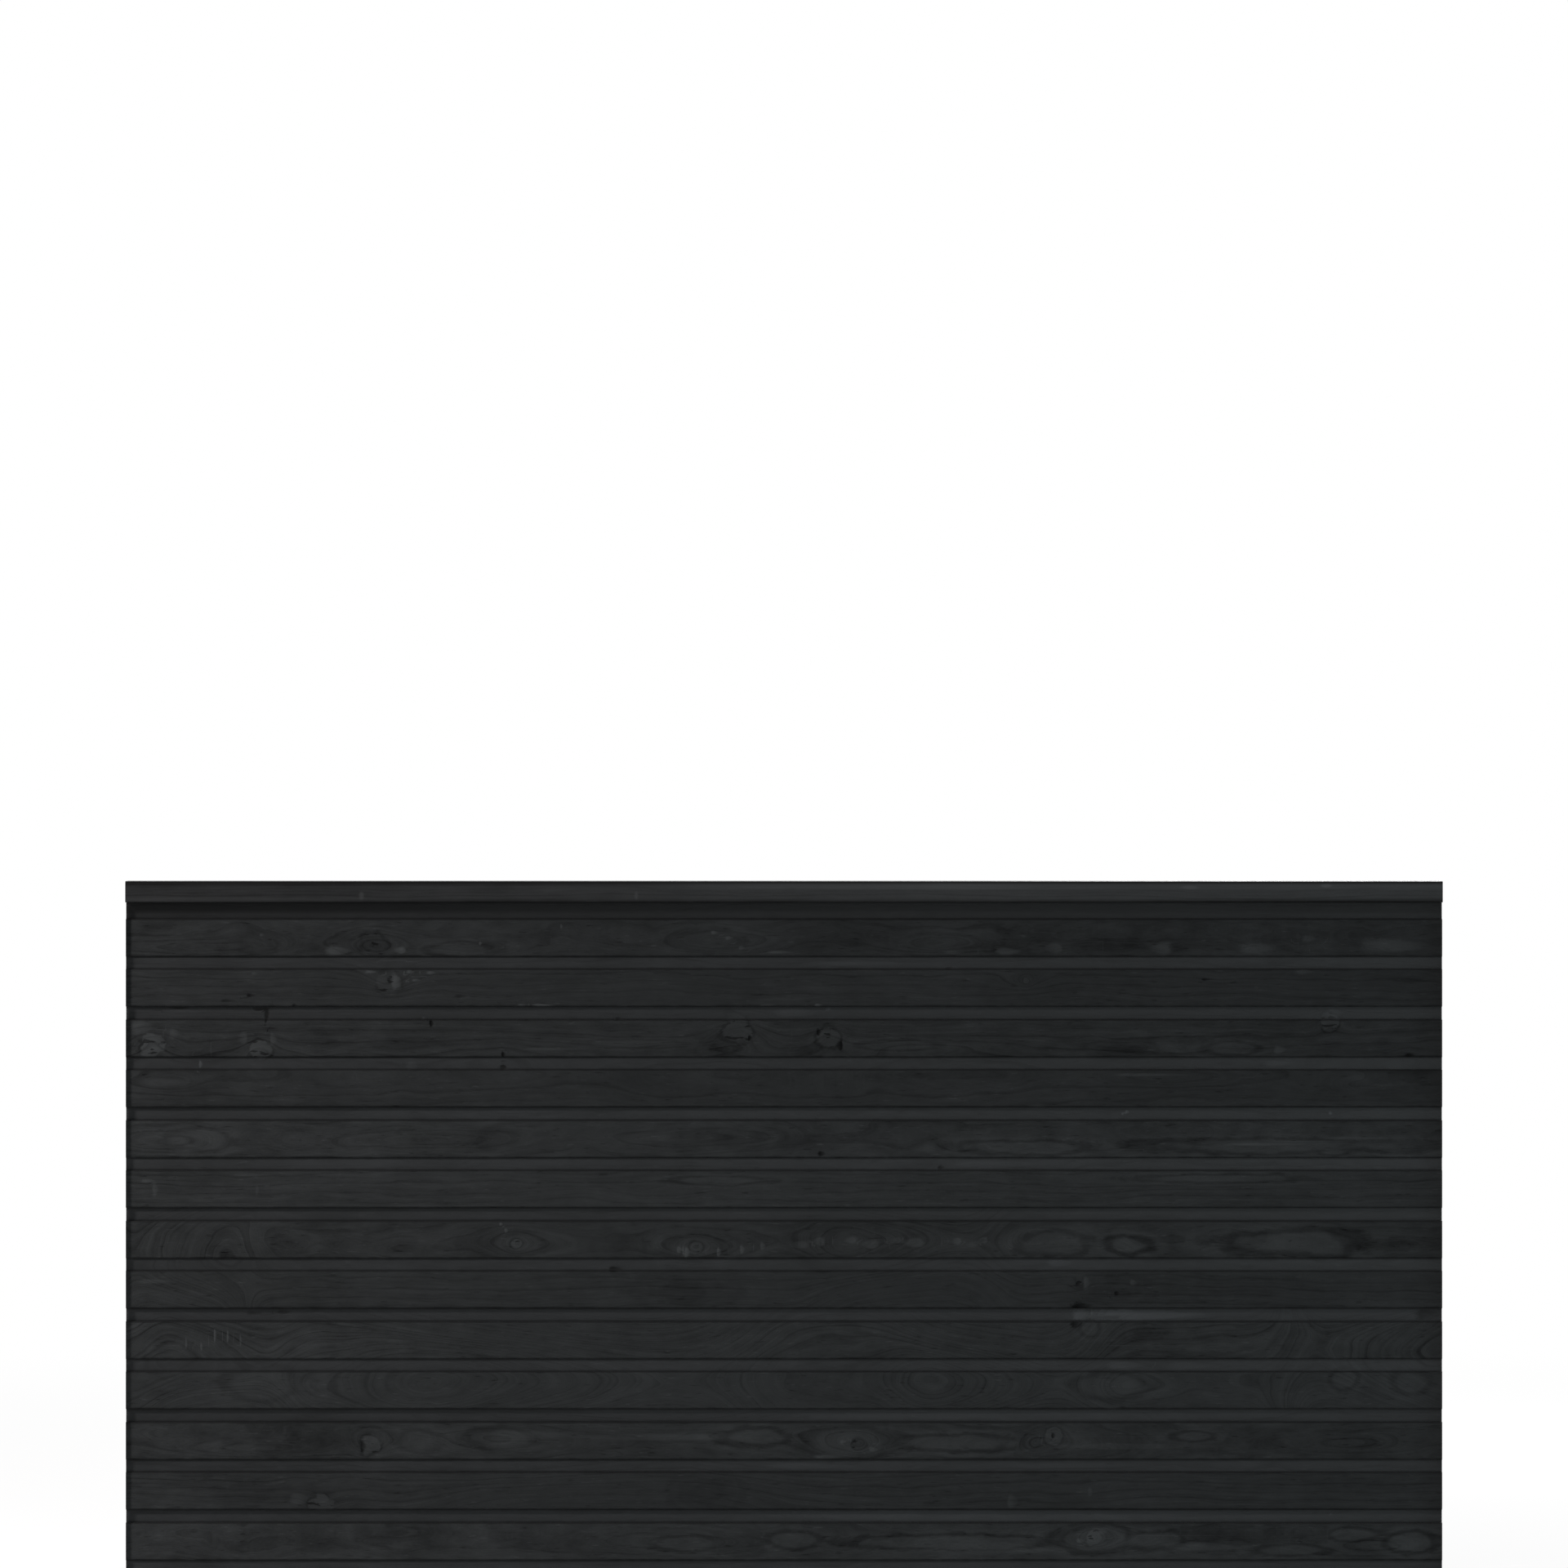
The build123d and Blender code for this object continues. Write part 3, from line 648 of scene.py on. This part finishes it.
def value_of(tree, name):
    """A number that the mesh carries at each point."""
    return add_node(tree, "ShaderNodeAttribute", attribute_name=name).outputs["Fac"]


def parts_of(tree, name):
    """The three numbers of a vector that the mesh carries at each point."""
    way = add_node(tree, "ShaderNodeAttribute", attribute_name=name).outputs["Vector"]
    return tuple(add_node(tree, "ShaderNodeSeparateXYZ", {"Vector": way}).outputs)


def way_from(tree, name, taper):
    """The distance from the nearest oval of that name, 1 at its edge, how far along it the point lies, and
    the oval's own value. The taper makes the oval blunt where the way along it is negative."""
    along, up, own = parts_of(tree, name)
    return length_of(tree, along, times(tree, up, plus(tree, 1.0, (along, taper)))), along, own


def uneven_noise(tree, parts, scales, detail=2.0, roughness=0.5, shift=0.0):
    """Noise on coordinates that each have their own scale, in features per metre or per growth ring."""
    scaled = [calculate(tree, "MULTIPLY_ADD", part, scale, shift) for part, scale in zip(parts, scales)]
    return noise(tree, combine(tree, *scaled), 1.0, detail, roughness)


def layered(tree, first, *layers):
    """A value plus each layer's noise about its middle, times that layer's amount."""
    total = first
    for value, amount in layers:
        total = calculate(tree, "ADD", total, calculate(tree, "MULTIPLY_ADD", value, amount, -amount / 2))
    return total


def darkened(tree, tone, place, least):
    """A tone times a falling factor, 1 where the place's value is 0 and the least where it is 1."""
    return times(tree, tone, plus(tree, 1.0, (place, least - 1.0)))


def stain(tree, shader, tone, tint, colours, roughness, bump_height, bump_distance):
    """Black stain on wood: two near colours mixed by the tint and made darker or paler by the tone, with
    its roughness and relief."""
    mixed = add_node(
        tree, "ShaderNodeMix", {"Factor": tint, "A": (*colours[0], 1), "B": (*colours[1], 1)}, data_type="RGBA"
    )
    scaled = add_node(
        tree, "ShaderNodeVectorMath", {0: mixed.outputs["Result"], "Scale": tone}, operation="SCALE"
    )
    tree.links.new(scaled.outputs["Vector"], shader.inputs["Base Color"])
    tree.links.new(roughness, shader.inputs["Roughness"])
    relief = add_node(
        tree, "ShaderNodeBump", {"Height": bump_height, "Distance": bump_distance, "Strength": 1.0}
    )
    tree.links.new(relief.outputs["Normal"], shader.inputs["Normal"])


def ring_tones(tree, rings, x):
    """The late wood of each growth ring, from -1 to 1: a soft line at the ring's end, pale in some rings and
    dark in others. Also streaks and fine fibres that follow the rings."""
    wobble = uneven_noise(tree, (x, rings, 0.0), (22, 1.3, 1), 3.0)
    fine_wobble = uneven_noise(tree, (x, rings, 0.0), (90, 5, 1))
    bent = layered(tree, rings, (wobble, 0.55), (fine_wobble, 0.22))
    line = band(tree, calculate(tree, "FRACT", bent), (0.45, 0.9), (1.0, 0.93))
    whole = calculate(tree, "FLOOR", bent)
    ring_value = add_node(tree, "ShaderNodeTexWhiteNoise", {"W": whole}, noise_dimensions="1D").outputs["Value"]
    strength = plus(tree, 0.5, (ring_value, -1.5))
    streaks = uneven_noise(tree, (x, bent, 0.0), (19, 1.5, 1), 3.0, 0.6, shift=3.0)
    broad = uneven_noise(tree, (x, bent, 0.0), (7, 0.42, 1), shift=8.0)
    fibres = uneven_noise(tree, (x, bent, 0.0), (34, 9, 1), 3.0, 0.6)
    return times(tree, line, strength), layered(tree, streaks, (broad, 0.8)), fibres


def patches(tree, x, y, z):
    """Clouds and smaller blotches where the wood took the stain unevenly."""
    cloud = uneven_noise(tree, (x, y, z), (7, 9, 16), 3.0)
    blotch = uneven_noise(tree, (x, y, z), (36, 40, 70), 3.0, shift=5.0)
    return cloud, blotch


def make_board_material(name, colours, sawn):
    """Black-stained softwood that follows the board's own growth rings, knots and marks. Sawn faces are rough
    and show the saw's upright marks; planed grooves are smoother and plainer."""
    material, tree, shader = new_material(name, sawn_gloss if sawn else planed_gloss)
    place, x, y, z = object_place(tree)
    late, streaks, fibres = ring_tones(tree, value_of(tree, "rings"), x)
    cloud, blotch = patches(tree, x, y, z)
    speck = uneven_noise(tree, (x, y, z), (260, 600, 600))

    eye_away, eye_tone, _ = parts_of(tree, "eye")
    eye_away = layered(tree, eye_away, (blotch, 0.7), (fibres, 0.35), (noise(tree, place, 17.0, 3.0), 1.0))
    eye_fill = times(tree, spread(tree, eye_away, 0.95, 0.6), eye_tone)
    eye_line = times(tree, band(tree, eye_away, (0.72, 0.96), (1.3, 1.04)), calculate(tree, "ABSOLUTE", eye_tone))
    eye_halo = times(tree, band(tree, eye_away, (1.15, 1.4), (1.85, 1.45)), eye_tone)

    knot_away, _, knot_pale = way_from(tree, "knot", 0.2)
    knot_away = layered(tree, knot_away, (blotch, 1.0), (noise(tree, place, 48.0, 2.0), 0.9), (speck, 0.1))
    core = spread(tree, knot_away, 1.02, 0.86)
    rim = times(
        tree, band(tree, knot_away, (0.8, 0.98), (1.25, 1.04)),
        spread(tree, noise(tree, place, 34.0, 1.0), 0.38, 0.6, 0.15, 1.0),
        spread(tree, knot_pale, 0.4, 0.7, 0.6, 1.0),
    )
    crack = spread(tree, uneven_noise(tree, (x, y, z), (60, 60, 190)), 0.6, 0.66)
    crack = times(tree, crack, core)

    mark_away, mark_along, mark_tone = way_from(tree, "mark", 0.45)
    mark_tone = times(tree, mark_tone, spread(tree, mark_along, -0.9, 1.0, 1.15, 0.45))
    mark = spread(tree, layered(tree, mark_away, (streaks, 0.7), (speck, 0.5), (blotch, 0.7)), 1.1, 0.55)
    mark_dark = times(tree, mark, calculate(tree, "MAXIMUM", times(tree, mark_tone, -1.0), 0.0))
    mark_pale = times(tree, mark, calculate(tree, "MAXIMUM", mark_tone, 0.0))

    # Painted shade in the corners of the grooves, under each lip and along the arrises
    corner = layered(tree, value_of(tree, "corner"), (noise(tree, place, 70.0, 2.0), 0.5))
    corner = spread(tree, corner, 0.12, 0.7)
    fleck = spread(tree, uneven_noise(tree, (x, y, z), (55, 90, 420), shift=2.0), 0.64, 0.78)
    pore = spread(tree, uneven_noise(tree, (x, y, z), (48, 90, 380), shift=6.0), 0.62, 0.76)

    amount = 1.0 if sawn else 0.6
    grain = layered(
        tree, 0.0, (streaks, 0.8 * amount), (fibres, 0.5 * amount), (cloud, 0.55), (blotch, 0.6 * amount),
        (speck, 0.25 * amount),
    )
    grain = plus(tree, grain, (late, 0.34 * amount))
    tone = plus(
        tree, 1.0, (grain, value_of(tree, "grain")), (eye_fill, 0.6), (eye_halo, 0.3), (eye_line, -0.38),
        (fleck, 0.5 * amount), (pore, -0.4 * amount), (times(tree, core, knot_pale), 0.8), (mark_pale, 1.1),
    )
    # The rim, crack and dark marks are the wood's own; the corner darkening is painted shade
    for dark_place, least in ((rim, 0.45), (crack, 0.35), (mark_dark, 0.1), (corner, 0.42)):
        tone = darkened(tree, tone, dark_place, least)
    # The points' tone, with the boards' painted light and the painted shade under the rail
    tone = times(tree, calculate(tree, "MAXIMUM", tone, 0.08), value_of(tree, "tone"))

    relief = layered(tree, 0.0, (fibres, 0.9), (streaks, 1.2), (speck, 0.5 if sawn else 0.15), (blotch, 0.6))
    relief = plus(tree, relief, (late, 0.8), (rim, -0.8), (crack, -1.5))
    if sawn:
        saw = uneven_noise(tree, (x, 0.0, z), (300, 1, 12), 1.0)
        saw_patch = spread(tree, uneven_noise(tree, (x, 0.0, z), (3.5, 1, 9), 1.0, shift=9.0), 0.5, 0.65)
        relief = plus(tree, relief, (times(tree, saw, saw_patch), 1.2))
    roughness = layered(tree, 0.72 if sawn else 0.42, (cloud, 0.2), (fibres, -0.2))
    stain(tree, shader, tone, cloud, colours, roughness, relief, 0.25 * MM if sawn else 0.08 * MM)
    return material


def rail_painted_light(tree, plain, x, y, z):
    """The rail's front, with painted light and shade: lighter towards the right end, painted highlights and
    shade along its upper and lower edges that change between its two ends, painted shade on its top arris,
    and a few pale spots. Its top and back keep the plain tone."""
    front = spread(tree, y, rail_low.y + 8 * MM, rail_low.y + 4 * MM)
    upper, bright, painted_top_shade = [
        spread(tree, z, rail_high.z - low * MM, rail_high.z - high * MM)
        for low, high in ((8, 4.5), (12.5, 9), (5.5, 0.5))
    ]
    lower, low_right, foot = [
        spread(tree, z, rail_low.z + high * MM, rail_low.z + low * MM) for high, low in ((9, 4), (9, 3), (6, 0))
    ]
    # Painted light: the front is lighter towards the right end
    tone = calculate(tree, "ADD", plain, spread(tree, x, -0.75, 0.25, -0.3, 0.3))
    # Painted highlights and shade along the upper and lower edges, changing along the rail
    for edge, *along_rail in (
        (upper, -0.3, 0.05, -0.36, 0.0), (bright, -0.3, 0.2, 0.0, 0.8), (bright, 0.2, 0.4, 0.0, -0.42),
        (lower, -0.85, -0.3, 0.5, 0.0), (low_right, 0.4, 0.75, 0.0, -0.35), (foot, -0.7, 0.3, -0.5, -0.95),
    ):
        tone = plus(tree, tone, (edge, spread(tree, x, *along_rail)))
    for at, up, reach, reach_up, pale in rail_pale_spots:
        along = plus(tree, -at / reach, (x, 1 / (reach * MM)))
        rise = plus(tree, -(rail_low.z / MM + up) / reach_up, (z, 1 / (reach_up * MM)))
        tone = plus(tree, tone, (spread(tree, length_of(tree, along, rise), 1.2, 0.3), pale))
    # Painted shade on the top arris
    tone = darkened(tree, calculate(tree, "MAXIMUM", tone, 0.1), painted_top_shade, 0.15)
    return plus(tree, plain, (front, calculate(tree, "SUBTRACT", tone, plain)))


def make_whole_material(name, colours, along, pith, ring, gloss):
    """Black-stained planed softwood for pieces with no values of their own: the rings are distances from a
    pith that runs along the piece and wanders."""
    material, tree, shader = new_material(name, gloss)
    place, x, y, z = object_place(tree)
    length, side = (x, z) if along == "X" else (z, x)
    slow = uneven_noise(tree, (length, side, 0.0), (2.6, 9, 1), shift=3.0)
    from_pith = length_of(tree, calculate(tree, "SUBTRACT", y, pith[0]), calculate(tree, "SUBTRACT", side, pith[1]))
    rings = calculate(tree, "DIVIDE", layered(tree, from_pith, (slow, 0.03)), ring)
    late, streaks, fibres = ring_tones(tree, rings, length)
    cloud, blotch = patches(tree, x, y, z)
    speck = noise(tree, place, 450.0, 2.0)
    tone = layered(tree, 1.0, (streaks, 0.5), (fibres, 0.35), (cloud, 0.45), (blotch, 0.3), (speck, 0.2))
    tone = plus(tree, tone, (late, 0.25))
    # The rail's front gets its painted light and shade
    if along == "X":
        tone = rail_painted_light(tree, tone, x, y, z)
    relief = layered(tree, 0.0, (fibres, 0.9), (streaks, 1.2), (speck, 0.2))
    relief = plus(tree, relief, (late, 0.6))
    roughness = layered(tree, 0.4, (cloud, 0.2), (fibres, -0.2))
    stain(tree, shader, tone, cloud, colours, roughness, relief, 0.1 * MM)
    return material


def make_end_grain_material(name, colours):
    """Sawn end grain: arcs of growth rings about a pith in front of each board, and fine specks."""
    material, tree, shader = new_material(name, end_grain_gloss)
    place, x, y, z = object_place(tree)
    up_board = calculate(tree, "FLOORED_MODULO", calculate(tree, "SUBTRACT", z, board_low.z), board_cover)
    back = calculate(tree, "ADD", y, end_pith[0] - board_front)
    from_pith = length_of(tree, back, calculate(tree, "SUBTRACT", up_board, end_pith[1]))
    rings = plus(tree, calculate(tree, "DIVIDE", from_pith, end_ring), (noise(tree, place, 60.0, 2.0), 0.5))
    late = band(tree, calculate(tree, "FRACT", rings), (0.3, 0.9), (1.0, 0.93))
    speck = noise(tree, place, 1400.0, 2.0)
    tone = layered(tree, plus(tree, 0.9, (late, -0.4)), (speck, 0.8))
    relief = calculate(tree, "ADD", speck, late)
    roughness = plus(tree, 0.8, (speck, 0.1))
    stain(tree, shader, tone, speck, colours, roughness, relief, 0.2 * MM)
    return material


def make_screw_material():
    """Zinc-plated steel with a fine turned finish and a dulled, spotted plating."""
    material, tree, shader = new_material("zinc_plated_steel")
    place = object_place(tree)[0]
    spots = noise(tree, place, 900.0, 3.0)
    tone = spread(tree, spots, 0.3, 0.75, 0.75, 1.05)
    roughness = spread(tree, spots, 0.3, 0.7, 0.28, 0.5)
    stain(tree, shader, tone, spots, [(0.50, 0.51, 0.52), (0.55, 0.56, 0.56)], roughness, spots, 0.05 * MM)
    shader.inputs["Metallic"].default_value = 1.0
    return material


def screw_surface(places, heading, across, length):
    """Screws as turned surfaces: rings of points at each station along the screw. The head's flat carries a
    cross-shaped recess, where points near either arm sink along the screw."""
    recess_rings = np.linspace(0, screw_recess_reach * 1.15, 12)
    flat_radii = np.concatenate([recess_rings, [screw_head_radius * 0.8, screw_head_radius * 0.97]])
    along = np.concatenate([
        0 * flat_radii, screw_rim_heights, [screw_head_height, length - screw_point_length, length]
    ])
    radii = np.concatenate([
        flat_radii, [screw_head_radius, screw_head_radius - screw_rim_wear],
        [screw_radius, screw_radius, screw_tip_radius],
    ])
    radii[0] = screw_middle_radius
    turn = np.arange(screw_sides) / screw_sides * 2 * math.pi
    first = radii[:, None] * np.cos(turn)
    second = radii[:, None] * np.sin(turn)
    on_flat = (np.arange(len(radii)) < len(flat_radii))[:, None]
    near_arm = np.minimum(np.abs(first), np.abs(second))
    arm = np.clip((screw_recess_width - near_arm) / screw_recess_side, 0, 1)
    reach = np.clip((screw_recess_reach - radii[:, None]) / screw_recess_end, 0, 1)
    sunk = along[:, None] + on_flat * arm * reach * screw_recess_depth
    side = np.cross(heading, across)
    ring_points = first[..., None] * across + second[..., None] * side + sunk[..., None] * heading
    quads = grid_faces(len(radii), screw_sides).reshape(-1, 4)
    vertices = np.concatenate([ring_points.reshape(-1, 3) + place for place in places])
    size = len(radii) * screw_sides
    faces = np.concatenate([quads + number * size for number in range(len(places))]).tolist()
    for number in range(len(places)):
        start = number * size
        faces.append(list(range(start + screw_sides - 1, start - 1, -1)))
        faces.append(list(range(start + size - screw_sides, start + size)))
    return vertices, faces


def solid_places(node, axis):
    """Where a group of screws has its heads: the middle of each head's flat, found as the cluster of
    points that lie furthest along the axis."""
    points = np.array([vertex.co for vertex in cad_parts[node].data.vertices])
    reach = points[:, axis].max()
    flats = np.unique(points[points[:, axis] > reach - 0.01 * MM].round(5), axis=0)
    middles = []
    while len(flats):
        mine = np.linalg.norm(flats - flats[0], axis=1) < 3 * screw_head_radius
        middles.append((flats[mine].max(axis=0) + flats[mine].min(axis=0)) / 2)
        flats = flats[~mine]
    return middles


def make_screws(node, axis, material):
    """The detailed screws of one node, where its solids are."""
    low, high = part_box(node)
    heading = np.zeros(3)
    heading[axis] = -1
    length = high[axis] - low[axis]
    vertices, faces = screw_surface(solid_places(node, axis), heading, np.array([1.0, 0, 0]), length)
    piece = make_mesh(node + "_steel", vertices, faces, np.zeros(len(faces), int), [material], {})
    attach(piece, "root")
    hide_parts(node)


def dress_solid(node, material):
    """Gives a solid whose shape is right its finish."""
    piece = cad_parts[node]
    piece.data.materials.clear()
    piece.data.materials.append(material)


def seen_directly(tree):
    """1 for what the camera sees, also in a mirror or through glass, and 0 for light that falls on things."""
    seen = add_node(tree, "ShaderNodeLightPath").outputs
    direct = calculate(tree, "MAXIMUM", seen["Is Camera Ray"], seen["Is Glossy Ray"])
    return calculate(tree, "MAXIMUM", direct, seen["Is Transmission Ray"])


def make_floor():
    """A pale floor that the camera sees as white but for the panel's soft shadow."""
    corners = [(x * floor_reach, y * floor_reach, 0) for x, y in ((-1, -1), (1, -1), (1, 1), (-1, 1))]
    material, tree, shader = new_material("pale_floor", 0.0)
    shader.inputs["Base Color"].default_value = (0.86, 0.86, 0.86, 1)
    shader.inputs["Roughness"].default_value = 0.9
    away = length_of(tree, *object_place(tree)[1:])
    glow = add_node(
        tree, "ShaderNodeEmission", {"Color": (1, 1, 1, 1), "Strength": spread(tree, away, *floor_fade, 1.04, 1.0)}
    )
    share = times(tree, seen_directly(tree), spread(tree, away, *floor_fade, 0.86, 1.0))
    mixed = add_node(
        tree, "ShaderNodeMixShader", {0: share, 1: shader.outputs["BSDF"], 2: glow.outputs["Emission"]}
    )
    tree.links.new(mixed.outputs["Shader"], tree.nodes["Material Output"].inputs["Surface"])
    floor = make_mesh("floor", corners, [(0, 1, 2, 3)], [0], [material], {})


def make_flag(name, end, front):
    """An upright strip that stands out to a front and keeps the lamps off one end of the boards. It only
    casts a shadow."""
    side = math.copysign(1, end)
    near, far = end + side * flag_gap, end + side * (flag_gap + flag_thickness)
    outline = ((near, front), (far, front), (far, board_front), (near, board_front))
    corners = [(x, y, z) for z in (0, rail_low.z) for x, y in outline]
    faces = [(0, 3, 2, 1), (4, 5, 6, 7), (0, 1, 5, 4), (1, 2, 6, 5), (2, 3, 7, 6), (3, 0, 4, 7)]
    material, _, shader = new_material(name + "_black")
    shader.inputs["Base Color"].default_value = (0.02, 0.02, 0.02, 1)
    flag = make_mesh(name, corners, faces, [0] * 6, [material], {})
    flag.visible_camera = False
    flag.visible_diffuse = False
    flag.visible_glossy = False
    flag.visible_transmission = False


def make_world():
    """A soft white surround: seen as white, and lighting the panel at a lower level."""
    world = bpy.data.worlds.new("surround")
    bpy.context.scene.world = world
    world.use_nodes = True
    tree = world.node_tree
    tree.nodes.clear()
    strength = plus(tree, world_level, (seen_directly(tree), 1.0 - world_level))
    background = add_node(tree, "ShaderNodeBackground", {"Color": (1, 1, 1, 1), "Strength": strength})
    output = tree.nodes.new("ShaderNodeOutputWorld")
    tree.links.new(background.outputs["Background"], output.inputs["Surface"])


def make_lamp(name, place, target, size, power, colour):
    """A square soft lamp at a place, turned towards its target."""
    light = bpy.data.lights.new(name, "AREA")
    light.shape = "SQUARE"
    light.size = size
    light.energy = power
    light.color = colour
    lamp = bpy.data.objects.new(name, light)
    lamp.location = place
    way = Vector(target) - Vector(place)
    lamp.rotation_euler = way.to_track_quat("-Z", "Y").to_euler()
    lamp.visible_camera = False
    bpy.context.scene.collection.objects.link(lamp)


def make_camera():
    """A camera far in front of the panel, level, with the panel's foot just below the picture's lower edge."""
    view_width = panel_length * picture_pixels / panel_pixels
    camera = bpy.data.cameras.new("camera")
    camera.sensor_width = 36
    camera.lens = camera.sensor_width * camera_distance / view_width
    seen = bpy.data.objects.new("camera", camera)
    foot_below = foot_below_pixels * panel_length / panel_pixels
    seen.location = (0, board_front - camera_distance, view_width / 2 + foot_below)
    seen.rotation_euler = (math.pi / 2, 0, 0)
    bpy.context.scene.collection.objects.link(seen)
    bpy.context.scene.camera = seen


face_stain = make_board_material("black_stain_sawn", face_colours, True)
band_stain = make_board_material("black_stain_planed", band_colours, False)
end_stain = make_end_grain_material("black_stain_end_grain", end_colours)
rail_stain = make_whole_material("black_stain_rail", rail_colours, "X", rail_pith, rail_ring, rail_gloss)
batten_stain = make_whole_material("black_stain_batten", face_colours, "Z", batten_pith, batten_ring, batten_gloss)
steel = make_screw_material()

rail_line = rail_low.z - board_low.z
for number, (node, grown) in enumerate(zip(board_names, board_growth)):
    level = board_low.z - number * board_cover
    top_line = board_cover if number else rail_line
    make_board(node, level, grown, [face_stain, band_stain, end_stain], top_line)

dress_solid("capping_rail", rail_stain)
for node in ("left_batten", "middle_batten", "right_batten"):
    dress_solid(node, batten_stain)
    make_screws(node + "_screws", 1, steel)
make_screws("rail_screws", 2, steel)

make_floor()
make_flag("left_flag", panel_low.x, panel_low.y)
make_flag("right_flag", panel_high.x, board_front - right_flag_depth)
make_world()
for lamp in lamps:
    make_lamp(*lamp)
make_camera()

bpy.context.scene.view_settings.view_transform = "Standard"
